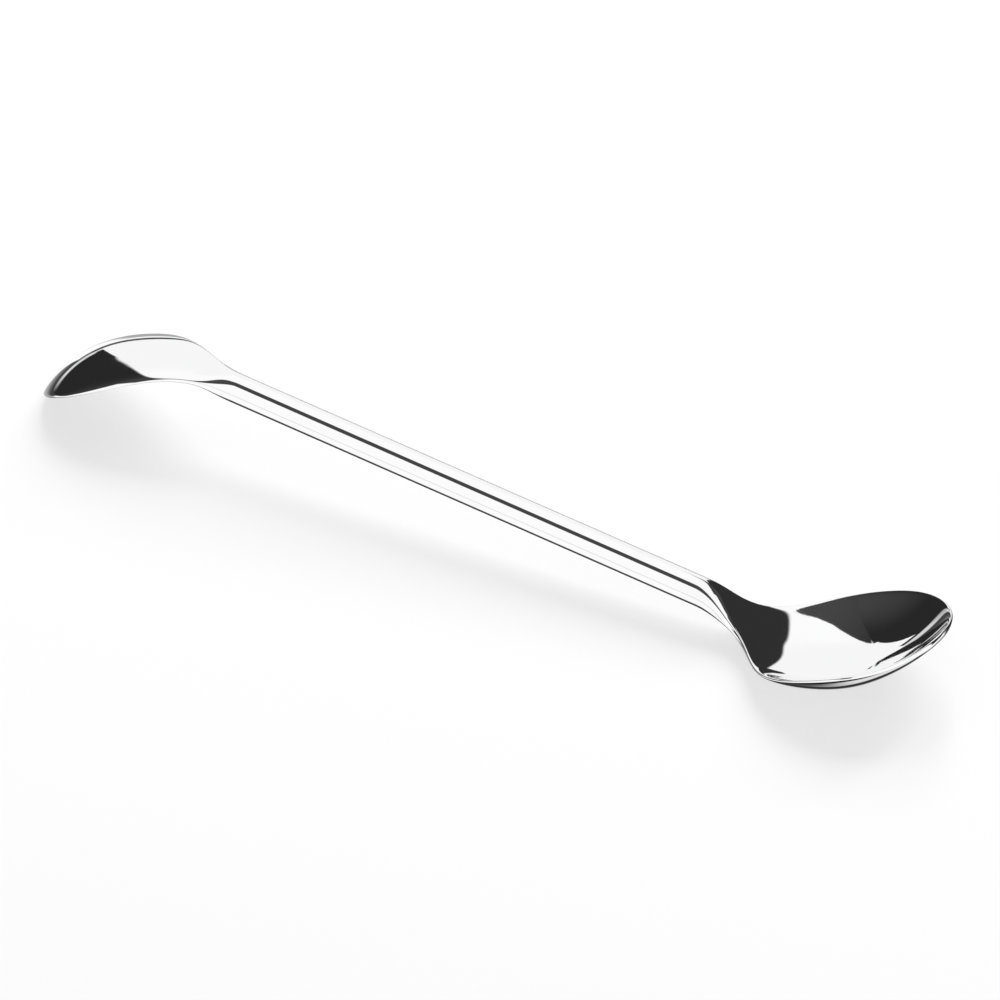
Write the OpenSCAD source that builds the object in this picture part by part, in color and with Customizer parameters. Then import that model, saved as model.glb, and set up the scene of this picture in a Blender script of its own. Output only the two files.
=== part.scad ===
// Double-ended laboratory spoon, forged from one polished steel rod and lying at rest.
// Millimetres. X runs along the spoon towards the wide bowl, Z is up and the floor is z = 0.

/* [Rod] */
// Diameter of the round rod
rod_d = 4.4; // [3:0.1:7]
// Length of the straight round stretch between the forged ends
rod_length = 79.5; // [50:0.5:140]

/* [Wide bowl] */
// Reach from the rod to the tip
bowl_length = 38.8; // [26:0.1:60]
// Greatest width over the rim
bowl_width = 27.2; // [20:0.1:40]
// Deepest place of the hollow below the rim
bowl_depth = 5.1; // [3:0.1:10]
// Metal thickness in the middle of the hollow
bowl_wall = 0.95; // [0.6:0.05:2]
// Where the bowl is widest, as a share of its length
bowl_widest = 0.633; // [0.5:0.001:0.75]
// Share of the length in which the rod is hammered down to the wall thickness
bowl_spread = 0.237; // [0.15:0.001:0.6]
// Pull of the neck below the rod's axis
bowl_neck_dip = 7.4; // [0:0.1:10]
// Pull of the rim above the rod's axis behind the middle
bowl_heel_lift = 7.9; // [0:0.1:12]
// Pull of the rim above the rod's axis before the tip
bowl_toe_lift = 4.7; // [0:0.1:12]
// Height of the tip above the rod's axis
bowl_tip_lift = 9.7; // [0:0.1:15]

/* [Leaf end] */
// Reach from the rod to the tip
leaf_length = 31.8; // [24:0.1:50]
// Greatest width over the rim
leaf_width = 19.1; // [10:0.1:24]
// Height of the dome above the rim
leaf_dome = 2.4; // [1:0.1:6]
// Metal thickness in the middle of the dome
leaf_wall = 1; // [0.6:0.05:2]
// Where the leaf is widest, as a share of its length
leaf_widest = 0.714; // [0.5:0.001:0.75]
// Share of the length in which the rod is hammered down to the wall thickness
leaf_spread = 0.228; // [0.15:0.001:0.6]
// Pull of the neck above the rod's axis
leaf_neck_rise = 4; // [0:0.1:5]
// Pull of the rim below the rod's axis behind the middle
leaf_heel_drop = 7.1; // [0:0.1:10]
// Pull of the rim below the rod's axis before the tip
leaf_toe_drop = 5.1; // [3:0.1:16]
// Drop of the tip below the rod's axis
leaf_tip_drop = 13; // [5:0.1:20]

/* [Hidden] */
rod_r = rod_d / 2;
// Steps along each half of an end's outline, and across one face of a section
steps = 22;
facets = 22;
// How square the sides of a flattened section are; 2 is a circle or an ellipse
squareness = 3.2;
// Metal left thick at the neck, as a share, and where it has thinned out along an end
heavy = 0.18;
heavy_end = 0.75;
// Outline of an end: hold of the neck, fullness of the shoulder, bluntness of the tip
bowl_shape = [0.572, 0.506, 0.346];
leaf_shape = [0.357, 0.329, 0.392];
// Rise and fall of the hollow from neck to tip, before it is scaled to the depth asked for
bowl_hollow = [0, 0, -0.06, 1, 0.36, 0];
leaf_hollow = [0, 0, -0.31, 1, 0.98, 0];
// Bend of a hollow across its width: 2 is an even arc, more is a flatter floor with steeper sides
bowl_bend = 2.52;
leaf_bend = 2.03;
bowl_rim = [0, 0, -bowl_neck_dip, bowl_heel_lift, bowl_toe_lift, bowl_tip_lift];
leaf_rim = [0, 0, leaf_neck_rise, -leaf_heel_drop, -leaf_toe_drop, -leaf_tip_drop];

// Curve drawn from its control values, and the curve's slope
function curve(c, t) =
    len(c) == 1 ? c[0] : curve([for (i = [0 : len(c) - 2]) c[i] * (1 - t) + c[i + 1] * t], t);
function slope(c, t) = (len(c) - 1) * curve([for (i = [0 : len(c) - 2]) c[i + 1] - c[i]], t);
function ease(t) = let (u = min(max(t, 0), 1)) u * u * u * (u * (6 * u - 15) + 10);

// Control values of a hollow, scaled so that its deepest place has the depth asked for
function scaled(c, depth) = c * depth / max([for (i = [0 : 60]) curve(c, i / 60)]);

// Outline of one end as [distance from the rod, half width], round at the widest place and the tip
function outline(length, half, widest, shape) =
    let (
        c = widest * length,
        lead = shape[1] * c,
        nose = min(lead * sqrt((1 - shape[2]) * half / (half - rod_r)), 0.95 * (length - c)),
        heel = [[0, rod_r], [shape[0] * c, rod_r], [c - lead, half], [c, half]],
        toe = [[c, half], [c + nose, half], [length, shape[2] * half], [length, 0]]
    )
    concat(
        [for (i = [0 : steps - 1]) curve(heel, i / steps)],
        [for (i = [0 : steps - 1]) curve(toe, 1 - pow(1 - i / steps, 1.25))]
    );

// One point of a section: u runs from edge to edge, s is 1 on the upper and -1 on the lower face
function section_point(u, s, half, thick, dish, n, bend) =
    let (
        h = s * thick / 2 * pow(max(1 - pow(abs(u), n), 0), 1 / n),
        m = bend * dish * pow(abs(u), bend - 1) * sign(u) / half,
        q = 1 / sqrt(1 + m * m)
    )
    [half * u - h * m * q, dish * (pow(abs(u), bend) - 1) + h * q];

function section(half, thick, dish, n, bend) =
    concat(
        [for (k = [0 : facets]) section_point(sin(180 * k / facets - 90), 1, half, thick, dish, n, bend)],
        [for (k = [1 : facets - 1]) section_point(sin(90 - 180 * k / facets), -1, half, thick, dish, n, bend)]
    );

// Rings of one end from the rod outwards, each square to the rim line
function end_rings(length, width, wall, widest, spread, shape, rim, hollow, bend) =
    [for (p = outline(length, width / 2, widest, shape))
        let (
            t = p[0] / length,
            m = ease(t / spread),
            g = slope(rim, t) / length,
            k = 1 / sqrt(1 + g * g),
            near = min((length - p[0]) / k / (0.6 * wall), 1),
            extra = (1 - heavy) * (1 - m) + heavy * (1 - ease(t / heavy_end)),
            thick = (wall + (rod_d - wall) * extra) * sqrt(near * (2 - near)),
            z = curve(rim, t)
        )
        [for (q = section(p[1], thick, curve(hollow, t), 2 + (squareness - 2) * m, bend))
            [p[0] - g * k * q[1], q[0], z + k * q[1]]]];

bowl_end = end_rings(
    bowl_length, bowl_width, bowl_wall, bowl_widest, bowl_spread, bowl_shape, bowl_rim,
    scaled(bowl_hollow, bowl_depth), bowl_bend);
leaf_end = end_rings(
    leaf_length, leaf_width, leaf_wall, leaf_widest, leaf_spread, leaf_shape, leaf_rim,
    -scaled(leaf_hollow, leaf_dome), leaf_bend);

// Whole spoon along the rod's own axis: left tip, rings of the leaf, rings of the bowl, right tip
leaf_rings = [for (i = [len(leaf_end) - 1 : -1 : 0]) [for (p = leaf_end[i]) [-rod_length / 2 - p[0], p[1], p[2]]]];
bowl_rings = [for (r = bowl_end) [for (p = r) [rod_length / 2 + p[0], p[1], p[2]]]];
leaf_tip = [-rod_length / 2 - leaf_length, 0, -leaf_tip_drop];
bowl_tip = [rod_length / 2 + bowl_length, 0, bowl_tip_lift];
leaf_points = concat([leaf_tip], [for (r = leaf_rings) each r]);
bowl_points = concat([for (r = bowl_rings) each r], [bowl_tip]);

// Rest: the spoon is turned until the leaf's tip and the bowl's belly are level
function low(points, a) = min([for (p = points) p[0] * sin(a) + p[2] * cos(a)]);
function settle(a, b, n) =
    let (m = (a + b) / 2)
    n == 0 ? m : low(leaf_points, m) > low(bowl_points, m) ? settle(m, b, n - 1) : settle(a, m, n - 1);
rest_angle = settle(-20, 20, 24);
turned = [for (p = concat(leaf_points, bowl_points))
    [p[0] * cos(rest_angle) - p[2] * sin(rest_angle), p[1], p[0] * sin(rest_angle) + p[2] * cos(rest_angle)]];
floor_z = min([for (p = turned) p[2]]);
middle_x = (min([for (p = turned) p[0]]) + max([for (p = turned) p[0]])) / 2;
placed = [for (p = turned) [p[0] - middle_x, p[1], p[2] - floor_z]];

// Faces of the skin between neighbouring rings, closed at both tips
ring_size = 2 * facets;
ring_count = len(leaf_rings) + len(bowl_rings);
last = len(placed) - 1;
function at(i, j) = 1 + i * ring_size + j % ring_size;
skin = concat(
    [for (j = [0 : ring_size - 1]) [0, at(0, j), at(0, j + 1)]],
    [for (i = [0 : ring_count - 2], j = [0 : ring_size - 1]) each [
        [at(i, j), at(i + 1, j), at(i + 1, j + 1)],
        [at(i, j), at(i + 1, j + 1), at(i, j + 1)]]],
    [for (j = [0 : ring_size - 1]) [last, at(ring_count - 1, j + 1), at(ring_count - 1, j)]]
);

module spoon() {
    color([0.78, 0.79, 0.8])
    polyhedron(points = placed, faces = skin, convexity = 6);
}

spoon();
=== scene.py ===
# %% [markdown]
# # A polished laboratory spoon
# A chemist's double spoon is forged from one steel rod. One end is hammered out into a wide
# egg-shaped bowl with its hollow up; the other becomes a narrow leaf, turned over and drooping.
# The spoon lies on a white table, on the leaf's tip and on the belly of the bowl.
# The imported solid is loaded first. It fixes the frame and the size, and everything below is
# in metres in that same frame.

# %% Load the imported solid
import math
import bpy
import numpy as np
from mathutils import Matrix, Vector


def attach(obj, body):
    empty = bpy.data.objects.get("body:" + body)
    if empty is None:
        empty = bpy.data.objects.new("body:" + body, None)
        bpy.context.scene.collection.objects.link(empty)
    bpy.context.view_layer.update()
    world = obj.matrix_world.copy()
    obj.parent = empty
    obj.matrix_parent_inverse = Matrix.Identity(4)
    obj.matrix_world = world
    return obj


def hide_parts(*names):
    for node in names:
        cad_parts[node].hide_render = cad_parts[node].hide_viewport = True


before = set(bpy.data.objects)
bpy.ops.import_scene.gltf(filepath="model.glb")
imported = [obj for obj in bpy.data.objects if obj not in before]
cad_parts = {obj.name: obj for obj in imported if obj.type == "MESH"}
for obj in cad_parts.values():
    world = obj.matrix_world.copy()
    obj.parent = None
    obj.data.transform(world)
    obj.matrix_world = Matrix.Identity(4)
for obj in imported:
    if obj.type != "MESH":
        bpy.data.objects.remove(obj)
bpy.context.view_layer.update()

# %% [markdown]
# ## The camera
# The picture is taken with a long lens from the near side of the rod, so lines that run away hardly
# close up. A long lens can be copied by an orthographic camera or by a real one far off; the real
# one keeps the slight growth of the nearer bowl. The rod runs from far left to near right, so the
# camera stands 33 degrees round from square and looks down by 34 degrees.

# %% Camera
around = math.radians(33.246)
look_down = math.radians(33.754)
camera_distance = 1.65
to_right = Vector((math.cos(around), math.sin(around), 0))
to_back = Vector((-math.sin(around), math.cos(around), 0))
straight_up = Vector((0, 0, 1))
picture_up = to_back * math.sin(look_down) + straight_up * math.cos(look_down)
to_camera = -to_back * math.cos(look_down) + straight_up * math.sin(look_down)

rod_middle = Vector((-0.003306, 0, 0.007729))
looked_at = rod_middle + to_right * 0.00457 - picture_up * 0.00148
camera_data = bpy.data.cameras.new("camera")
camera_data.sensor_width = 36
camera_data.lens = 413.8
camera = bpy.data.objects.new("camera", camera_data)
bpy.context.scene.collection.objects.link(camera)
camera.matrix_world = Matrix.LocRotScale(
    looked_at + to_camera * camera_distance,
    Matrix((to_right, picture_up, to_camera)).transposed().to_quaternion(),
    None)
bpy.context.scene.camera = camera
print("camera at", [round(v, 3) for v in camera.matrix_world.translation], "lens", camera_data.lens)

# %% [markdown]
# ## Curves from a few pulls
# A smith draws a spoon with a few sweeps: where the outline leaves the rod, where it is widest, how
# blunt the tip is. A Bezier curve does the same with a few control values that pull the line
# towards them. Blender has Bezier objects, but here a plain function is handier: whole arrays of
# places go in and come out, and the slope of the line is known exactly, which a mirror finish needs.

# %% Curves
def pulled(values, t):
    points = [np.asarray(v, float) for v in values]
    while len(points) > 1:
        points = [a * (1 - t) + b * t for a, b in zip(points[:-1], points[1:])]
    return points[0]


def pulled_slope(values, t):
    steps = [b - a for a, b in zip(values[:-1], values[1:])]
    return len(steps) * pulled(steps, t)


def ease(t):
    u = np.clip(t, 0, 1)
    return u ** 3 * (u * (6 * u - 15) + 10)


print("half way along an even sweep:", float(pulled([0, 0, 1, 1], np.array(0.5))))

# %% [markdown]
# ## The measurements
# These are the spoon's own sizes in millimetres: the round rod, and for each end its reach, its
# width, the depth of its hollow, its wall, and the pulls of its outline, rim and hollow. The leaf
# is made like the bowl, with its hollow on the underside, so its depth and its rim go downwards.

# %% Measurements
rod_d, rod_length = 4.4, 79.5
bowl_size = dict(
    length=38.8, width=27.2, depth=5.1, wall=0.95, widest=0.633, spread=0.237, bend=2.52,
    shape=(0.572, 0.506, 0.346), rim=[0, 0, -7.4, 7.9, 4.7, 9.7], hollow=[0, 0, -0.06, 1, 0.36, 0])
leaf_size = dict(
    length=31.8, width=19.1, depth=-2.4, wall=1.0, widest=0.714, spread=0.228, bend=2.03,
    shape=(0.357, 0.329, 0.392), rim=[0, 0, 4, -7.1, -5.1, -13], hollow=[0, 0, -0.31, 1, 0.98, 0])
along, across = 100, 72
print("whole length in mm:", leaf_size["length"] + rod_length + bowl_size["length"])

# %% [markdown]
# ## The outline of an end
# Seen from above, each end swells from the rod to its widest place and closes in a round tip. Two
# Bezier pieces that meet at the widest place give that egg with no kink, because both leave it
# straight along the spoon. The rings crowd towards the tip, where the line bends most.

# %% Outline
def egg_outline(size):
    length, half, r = size["length"], size["width"] / 2, rod_d / 2
    hold, shoulder, blunt = size["shape"]
    widest = size["widest"] * length
    lead = shoulder * widest
    nose = min(lead * math.sqrt((1 - blunt) * half / (half - r)), 0.95 * (length - widest))
    even = np.arange(along) / along
    crowded = 1 - (1 - even) ** 1.25
    reach = np.concatenate([pulled([0, hold * widest, widest - lead, widest], even),
                            pulled([widest, widest + nose, length, length], crowded)])
    half_width = np.concatenate([pulled([r, r, half, half], even),
                                 pulled([half, half, blunt * half, 0], crowded)])
    return reach, half_width


reach, half_width = egg_outline(bowl_size)
print("bowl outline:", len(reach), "places, widest", round(2 * half_width.max(), 2), "mm")

# %% [markdown]
# ## Hammering an end out of the rod
# At the rod a section is a circle. Towards the tip it turns into a thin plate with rounded
# edges that is bent down in the middle. A circle and a plate are the same superellipse with another
# power, so one formula carries the metal from the rod to the rim and no seam is needed. Booleans or
# subdivision would leave ripples there, and a mirror shows every ripple.
# Each ring stands square to the rim line, which dips at the neck and rises to the tip of the bowl.

# %% Hammered ends
plate_power, neck_metal, neck_end = 3.2, 0.18, 0.75


def hammered_end(size):
    x, w = egg_outline(size)
    length, wall, bend = size["length"], size["wall"], size["bend"]
    t = x / length
    flat = ease(t / size["spread"])
    lean = pulled_slope(size["rim"], t) / length
    upright = 1 / np.sqrt(1 + lean * lean)
    near_tip = np.minimum((length - x) / upright / (0.6 * wall), 1)
    extra = (1 - neck_metal) * (1 - flat) + neck_metal * (1 - ease(t / neck_end))
    thick = (wall + (rod_d - wall) * extra) * np.sqrt(near_tip * (2 - near_tip))
    deepest = pulled(size["hollow"], np.linspace(0, 1, 61)).max()
    dish = pulled(size["hollow"], t) * size["depth"] / deepest
    power = (2 + (plate_power - 2) * flat)[:, None]
    u = np.sin(np.radians(180 * np.arange(across + 1) / across - 90))
    u = np.concatenate([u, u[::-1][1:-1]])[None]
    face = np.concatenate([np.ones(across + 1), -np.ones(across - 1)])[None]
    h = face * thick[:, None] / 2 * np.maximum(1 - np.abs(u) ** power, 0) ** (1 / power)
    tilt = bend * dish[:, None] * np.abs(u) ** (bend - 1) * np.sign(u) / w[:, None]
    q = 1 / np.sqrt(1 + tilt * tilt)
    sideways = w[:, None] * u - h * tilt * q
    height = dish[:, None] * (np.abs(u) ** bend - 1) + h * q
    rim = pulled(size["rim"], t)[:, None]
    return np.stack([x[:, None] - (lean * upright)[:, None] * height, sideways,
                     rim + upright[:, None] * height], -1)


bowl_rings = hammered_end(bowl_size) + [rod_length / 2, 0, 0]
leaf_rings = hammered_end(leaf_size)[::-1] * [-1, 1, 1] - [rod_length / 2, 0, 0]
bowl_tip = np.array([rod_length / 2 + bowl_size["length"], 0, bowl_size["rim"][-1]])
leaf_tip = np.array([-rod_length / 2 - leaf_size["length"], 0, leaf_size["rim"][-1]])
print("rings:", len(leaf_rings), "leaf and", len(bowl_rings), "bowl,", bowl_rings.shape[1], "points each")

# %% [markdown]
# ## Laying the spoon down
# A spoon put on a table rocks until it rests on two places. The rod is turned until the lowest
# point of the leaf and the lowest point of the bowl are level, found by halving the angle again
# and again. A rigid body simulation would find the same pose, only more slowly and less exactly.

# %% Rest
def turned(points, angle):
    c, s = math.cos(angle), math.sin(angle)
    x, y, z = points[..., 0], points[..., 1], points[..., 2]
    return np.stack([x * c - z * s, y, x * s + z * c], -1)


leaf_points = np.vstack([leaf_tip, leaf_rings.reshape(-1, 3)])
bowl_points = np.vstack([bowl_rings.reshape(-1, 3), bowl_tip])
lower, upper = math.radians(-20), math.radians(20)
for _ in range(40):
    rest = (lower + upper) / 2
    if turned(leaf_points, rest)[:, 2].min() > turned(bowl_points, rest)[:, 2].min():
        lower = rest
    else:
        upper = rest
lying = turned(np.vstack([leaf_points, bowl_points]), rest)
middle_x = (lying[:, 0].min() + lying[:, 0].max()) / 2
lift = np.array([-middle_x, 0, -lying[:, 2].min()])
print("rod slopes", round(math.degrees(rest), 2), "degrees")

# %% [markdown]
# ## The skin
# The rings are joined by quads into one closed skin. Extra rings along the rod keep the quads short
# enough for fine surface detail. Smooth shading then blends the normals of the dense
# mesh, so reflections run on without facets.

# %% Skin
rod_rings = [leaf_rings[-1] * (1 - k) + bowl_rings[0] * k for k in np.linspace(0, 1, 62)[1:-1]]
rings = np.concatenate([leaf_rings, np.array(rod_rings), bowl_rings])
count, per_ring = rings.shape[:2]
points = np.vstack([leaf_tip, rings.reshape(-1, 3), bowl_tip])
points = (turned(points, rest) + lift) / 1000
last = len(points) - 1


def at(i, j):
    return 1 + i * per_ring + j % per_ring


faces = [(0, at(0, j), at(0, j + 1)) for j in range(per_ring)]
for i in range(count - 1):
    faces += [(at(i, j), at(i + 1, j), at(i + 1, j + 1), at(i, j + 1)) for j in range(per_ring)]
faces += [(last, at(count - 1, j + 1), at(count - 1, j)) for j in range(per_ring)]
skin = bpy.data.meshes.new("polished_spoon")
skin.from_pydata(points.tolist(), [], faces)
skin.update()
skin.shade_smooth()
spoon = bpy.data.objects.new("polished_spoon", skin)
bpy.context.scene.collection.objects.link(spoon)
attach(spoon, "root")
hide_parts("spoon")
print("skin:", len(points), "points,", len(faces), "faces")

# %% [markdown]
# ## Shader sums
# A finish is worked out by small nodes. Wiring them by hand hides the sum, so one class wraps an
# output socket and lets Python's own signs add the Math nodes. Any other node comes from one
# method: its kind, its settings, then what goes into its sockets.

# %% Wires
class Wire:
    def __init__(self, socket):
        self.socket = socket
        self.tree = socket.id_data

    @classmethod
    def node(cls, tree, kind, settings=None, sockets=None):
        made = tree.nodes.new("ShaderNode" + kind)
        for name, value in (settings or {}).items():
            setattr(made, name, value)
        for name, value in (sockets or {}).items():
            if isinstance(value, cls):
                tree.links.new(value.socket, made.inputs[name])
            else:
                made.inputs[name].default_value = value
        return cls(made.outputs[0]) if made.outputs else made

    def pick(self, name):
        return Wire(self.socket.node.outputs[name])

    def maths(self, operation, *others):
        sockets = dict(enumerate((self,) + others))
        return Wire.node(self.tree, "Math", {"operation": operation}, sockets)

    def back(self, operation, other):
        return Wire.node(self.tree, "Math", {"operation": operation}, {0: other, 1: self})

    def __add__(self, other):
        return self.maths("ADD", other)

    __radd__ = __add__

    def __mul__(self, other):
        return self.maths("MULTIPLY", other)

    __rmul__ = __mul__

    def __sub__(self, other):
        return self.maths("SUBTRACT", other)

    def __rsub__(self, other):
        return self.back("SUBTRACT", other)

    def __truediv__(self, other):
        return self.maths("DIVIDE", other)

    def __rtruediv__(self, other):
        return self.back("DIVIDE", other)

    def rising(self, start, end):
        return Wire.node(
            self.tree, "MapRange", {"interpolation_type": "SMOOTHSTEP"},
            {"Value": self, "From Min": start, "From Max": end})


def new_tree(block):
    block.use_nodes = True
    block.node_tree.nodes.clear()
    return block.node_tree


print("wires ready")

# %% [markdown]
# ## Mirror-polished steel
# The spoon is stainless steel, ground and then buffed until it is nearly a mirror. What remains
# of the buffing are hair-fine lines along the rod, a very slight waviness, and dull
# touches where fingers held it. The metal's colour is all in its reflection, so the base
# colour stays bright and even, and the roughness and a faint bump carry the detail.

# %% Steel
steel = bpy.data.materials.new("mirror_polished_steel")
tree = new_tree(steel)
place = Wire.node(tree, "TexCoord").pick("Object")
stretched = Wire.node(
    tree, "Mapping", None, {"Vector": place, "Scale": (60, 2600, 2600)})
buffing = Wire.node(
    tree, "TexNoise", None, {"Vector": stretched, "Scale": 1.0, "Detail": 3.0, "Roughness": 0.6})
touches = Wire.node(
    tree, "TexNoise", None, {"Vector": place, "Scale": 85.0, "Detail": 4.0, "Roughness": 0.55})
dull = touches.rising(0.52, 0.75)
shine = 0.03 + 0.03 * dull + 0.02 * buffing
tint = Wire.node(
    tree, "Mix", {"data_type": "RGBA"},
    {"Factor": dull * 0.6, 6: (0.97, 0.97, 0.972, 1), 7: (0.93, 0.93, 0.93, 1)}).pick(2)
grain = Wire.node(
    tree, "Bump", None, {"Strength": 0.005, "Distance": 0.0002, "Height": buffing})
mirror = Wire.node(
    tree, "BsdfPrincipled", None,
    {"Base Color": tint, "Metallic": 1.0, "Roughness": shine, "Normal": grain})
Wire.node(tree, "OutputMaterial", None, {"Surface": mirror})
skin.materials.append(steel)
print("steel nodes:", len(tree.nodes))

# %% [markdown]
# ## The white table
# The spoon lies on a plain white sheet that is so bright that it runs out into the background. A
# matt white surface takes the soft shadows; for the camera half of it is replaced by an even white
# glow, so the sheet stays white without more light on the spoon. What the steel mirrors of the
# table is drawn together with the studio below, so the sheet itself hides from mirrors.

# %% Table
table_mesh = bpy.data.meshes.new("white_table")
reach_m = 4.0
table_mesh.from_pydata(
    [(x * reach_m, y * reach_m, 0) for x, y in ((-1, -1), (1, -1), (1, 1), (-1, 1))],
    [], [(0, 1, 2, 3)])
table = bpy.data.objects.new("white_table", table_mesh)
table.location.z = -0.00005
table.visible_glossy = False
bpy.context.scene.collection.objects.link(table)

sheet = bpy.data.materials.new("white_sheet")
tree = new_tree(sheet)
path = Wire.node(tree, "LightPath")
seen = path.pick("Is Camera Ray") * 0.5
matt = Wire.node(tree, "BsdfDiffuse", None, {"Color": (0.9, 0.9, 0.9, 1)})
glow = Wire.node(tree, "Emission", None, {"Color": (1, 1, 1, 1), "Strength": 1.0})
mixed = Wire.node(tree, "MixShader", None, {0: seen, 1: matt, 2: glow})
Wire.node(tree, "OutputMaterial", None, {"Surface": mixed})
table_mesh.materials.append(sheet)
print("table spans", 2 * reach_m, "m")

# %% [markdown]
# ## A map of directions
# Polished metal shows nothing but its surroundings, and only their direction counts. Panels could
# be built as meshes; drawing them in the world shader is simpler. A direction is laid flat like
# a star map: its distance from straight up in degrees, split into right and back. The middle
# of the map is overhead, 90 is the horizon, and more than that is the table.

# %% Directions
world = bpy.data.worlds.new("studio")
bpy.context.scene.world = world
tree = new_tree(world)
ray = Wire.node(tree, "TexCoord").pick("Generated")


def part_along(direction):
    return Wire.node(tree, "VectorMath", {"operation": "DOT_PRODUCT"},
                     {0: ray, 1: tuple(direction)}).pick("Value")


rightward, backward, upward = (part_along(v) for v in (to_right, to_back, straight_up))
from_top = upward.maths("ARCCOSINE") * math.degrees(1)
level = (1 - upward * upward).maths("MAXIMUM", 0.000001).maths("SQRT")
map_right = from_top * rightward / level
map_back = from_top * backward / level
print("direction map drawn with", len(tree.nodes), "nodes")

# %% [markdown]
# ## The studio that the steel mirrors
# A strip of white cloth hangs behind the table and runs on overhead, a second white panel stands
# at the front left, and the rest is a dim room. The strip's two edges draw the dark patches in the
# bowl and on the leaf; the gap between strip and panel draws the dark line along the rod.

# %% Studio
def blend(a, b, share):
    return a * (1 - share) + b * share


def band(wire, start, full, fade, end):
    return wire.rising(start, full) * (1 - wire.rising(fade, end))


soft = 0.8
right_edge = 12.7 + 6.3 * map_back.rising(52, 84)
left_edge = -24.8 + 3.3 * map_back.rising(62, 76)
left_of_strip = (left_edge - map_right).rising(-soft, soft)
right_of_strip = (map_right - right_edge).rising(-soft, soft) * map_back.rising(-12, -4)
panel = (-41 - map_right).rising(-soft, soft) * (22 + 0.2 * map_right - map_back).rising(-2, 2)
cloth = 1.0 - 0.05 * map_back.rising(40, 55)
room = 0.02 + 0.035 * (0 - map_back).rising(-45, -10)
above = blend(cloth, room, left_of_strip * (1 - panel))
above = blend(above, 0.028, right_of_strip)
print("studio zones drawn with", len(tree.nodes), "nodes")

# %% [markdown]
# ## The table that the steel mirrors
# Edges and undersides mirror the table. It is white in front; towards the back the far edge of the
# table shows as a thin dark line, and beside the strip the table fades into the dim room, with a
# pale streak along the horizon. Straight down the spoon mirrors its own shade. These narrow zones
# give the steel its dark outlines, and the streak gives leaf and bowl a highlight along the rim.

# %% Mirrored table
gloom = 0.03
behind = map_back.rising(40, 60)
far_edge = band(from_top, 91, 92.5, 96, 97.5)
below = blend(1.0, 0.07, far_edge * behind)
below = blend(below, 0.4, from_top.rising(100, 102) * map_right.rising(-14, -9) * behind)
beside = (-30 - map_right).rising(-soft, soft)
below = blend(below, 0.05 + 0.4 * from_top.rising(95, 114), beside * behind)
below = blend(below, gloom, right_of_strip * behind)
below = blend(below, 0.4, from_top.rising(117, 124) * behind)
# A grey band across the mirrored table in front, 18 to 25 degrees below the horizon.
front_grey_band = band(from_top, 108, 110, 112, 115)
below = blend(below, 0.68, front_grey_band * (1 - behind))
belly = (0.05 + 0.7 * map_right.rising(-25, 40)) * (1 - from_top.rising(158, 166))
under = map_back.rising(45, 85)
below = blend(below, belly, from_top.rising(142, 148) * under)
shade = band(from_top, 132, 137, 146, 149)
below = blend(below, gloom, shade * under)
mirrored = blend(above, below, from_top.rising(89, 91))
streak = band(from_top, 87.5, 89, 92, 94) * band(map_right, -60, -40, -25 - soft, -25 + soft)
mirrored = blend(mirrored, 0.7, streak * behind)
print("mirrored table drawn with", len(tree.nodes), "nodes")

# %% [markdown]
# ## What each kind of ray sees
# The camera sees plain white behind the table, mirrors see the studio, and the table is lit by
# an even soft sky. The Light Path node tells the rays apart.

# %% Sky
path = Wire.node(tree, "LightPath")
camera_ray, glossy_ray = path.pick("Is Camera Ray"), path.pick("Is Glossy Ray")
soft_light = 0.66
sky = blend(blend(soft_light, mirrored, glossy_ray), 1, camera_ray)
backdrop = Wire.node(tree, "Background", None, {"Color": sky, "Strength": 1.0})
Wire.node(tree, "OutputWorld", None, {"Surface": backdrop})
print("sky nodes:", len(tree.nodes))

# %% [markdown]
# ## Three cards that only mirrors see
# A far panel looks the same from every place on the spoon; a near one does not. The edge of the
# white cloth hangs less than a metre behind the table, so leaf and bowl see it under different
# angles. A small white card stands closer behind the bowl and brightens its near wall. A small
# black card, a flag in a photographer's words, hangs close above the heel of the bowl and
# lengthens the dark patch on the far wall while the rod stays white. All are flat meshes, placed to
# the right and to the back of the rod's middle and up from the table. They hide from the camera
# and throw no shadow, so they draw the reflections and nothing else.

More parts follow.
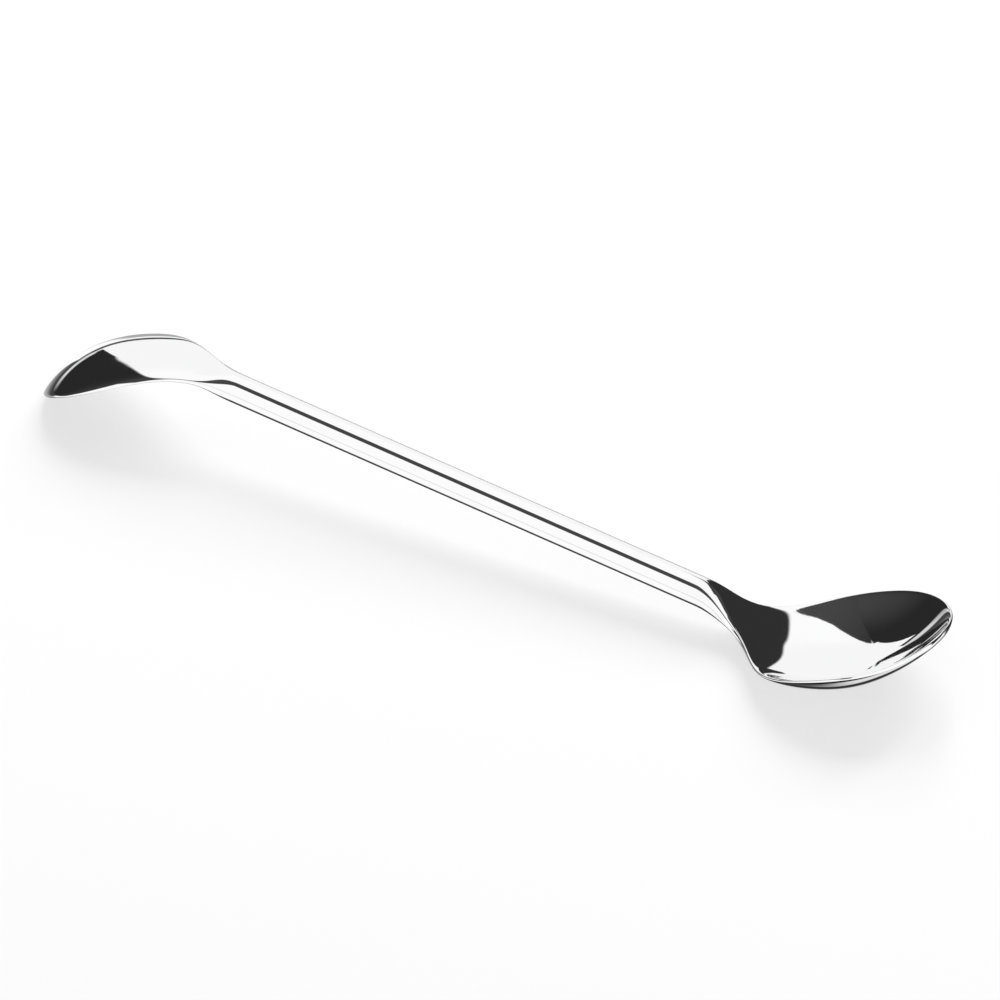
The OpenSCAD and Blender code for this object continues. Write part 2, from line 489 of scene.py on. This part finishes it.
# %% Cards
def mirror_card(name, corners, left_shade, right_shade):
    spots = [rod_middle + (to_right * right + to_back * back) / 1000 for right, back, _ in corners]
    mesh = bpy.data.meshes.new(name)
    mesh.from_pydata([(spot.x, spot.y, up / 1000) for spot, (_, _, up) in zip(spots, corners)], [],
                     [tuple(range(len(corners)))])
    card = bpy.data.objects.new(name, mesh)
    bpy.context.scene.collection.objects.link(card)
    card.visible_camera = card.visible_diffuse = False
    card.visible_shadow = card.visible_transmission = False
    finish = bpy.data.materials.new(name)
    tree = new_tree(finish)
    spot = Wire.node(tree, "TexCoord").pick("Generated")
    share = Wire.node(tree, "SeparateXYZ", None, {"Vector": spot}).pick("X").rising(0, 0.8)
    shade = Wire.node(
        tree, "Mix", {"data_type": "RGBA"},
        {"Factor": share, 6: (left_shade,) * 3 + (1,), 7: (right_shade,) * 3 + (1,)}).pick(2)
    glow = Wire.node(tree, "Emission", None, {"Color": shade, "Strength": 1.0})
    Wire.node(tree, "OutputMaterial", None, {"Surface": glow})
    mesh.materials.append(finish)
    return card


cloth_outline = [(100, 0), (100, 560), (-390, 560), (-350, 340), (-305, 180), (-255, 0)]
mirror_card("white_cloth", [(right, 850, up) for right, up in cloth_outline], 0.95, 0.95)
card_outline = [(-20, 25), (-20, 115), (-42, 115), (-44, 25)]
mirror_card("white_card", [(right, 170, up) for right, up in card_outline], 0.95, 0.95)
flag_outline = [(37, -26), (54, -26), (52.6, -18.3), (49.2, -14.6), (46, -9.6), (43, -1.3),
                (40.3, 6.7), (37.4, 14.2), (35.2, 18.5), (36.3, 5), (37.6, -8)]
mirror_card("dark_flag", [(right, back, 35) for right, back in flag_outline], 0.03, 0.06)

# %% [markdown]
# ## Two soft lamps
# Two lamps stand behind the spoon, one of them further to the right. They throw two faint shadows
# towards the viewer, as the picture shows under both ends. The lamps are tall, which blurs the
# shadow of the thin rod away while the broad ends keep theirs. The steel mirrors the drawn studio,
# so the lamps hide from glossy rays.

# %% Lamps
def soft_lamp(name, turn, height, distance, wide, tall, power):
    data = bpy.data.lights.new(name, "AREA")
    data.shape = "RECTANGLE"
    data.size, data.size_y, data.energy = wide, tall, power
    lamp = bpy.data.objects.new(name, data)
    bpy.context.scene.collection.objects.link(lamp)
    turn, height = math.radians(turn), math.radians(height)
    flat = to_back * math.cos(turn) + to_right * math.sin(turn)
    direction = flat * math.cos(height) + straight_up * math.sin(height)
    lamp.location = direction * distance
    lamp.rotation_euler = direction.to_track_quat("Z", "Y").to_euler()
    lamp.visible_glossy = False
    return lamp


lamp_build = dict(distance=1.2, wide=0.25, tall=0.8, power=6)
soft_lamp("lamp_back_right", turn=36, height=36, **lamp_build)
soft_lamp("lamp_back", turn=6, height=40, **lamp_build)

# %% [markdown]
# ## Finish
# The plain view transform keeps white white.

# %% Finish
bpy.context.scene.view_settings.view_transform = "Standard"
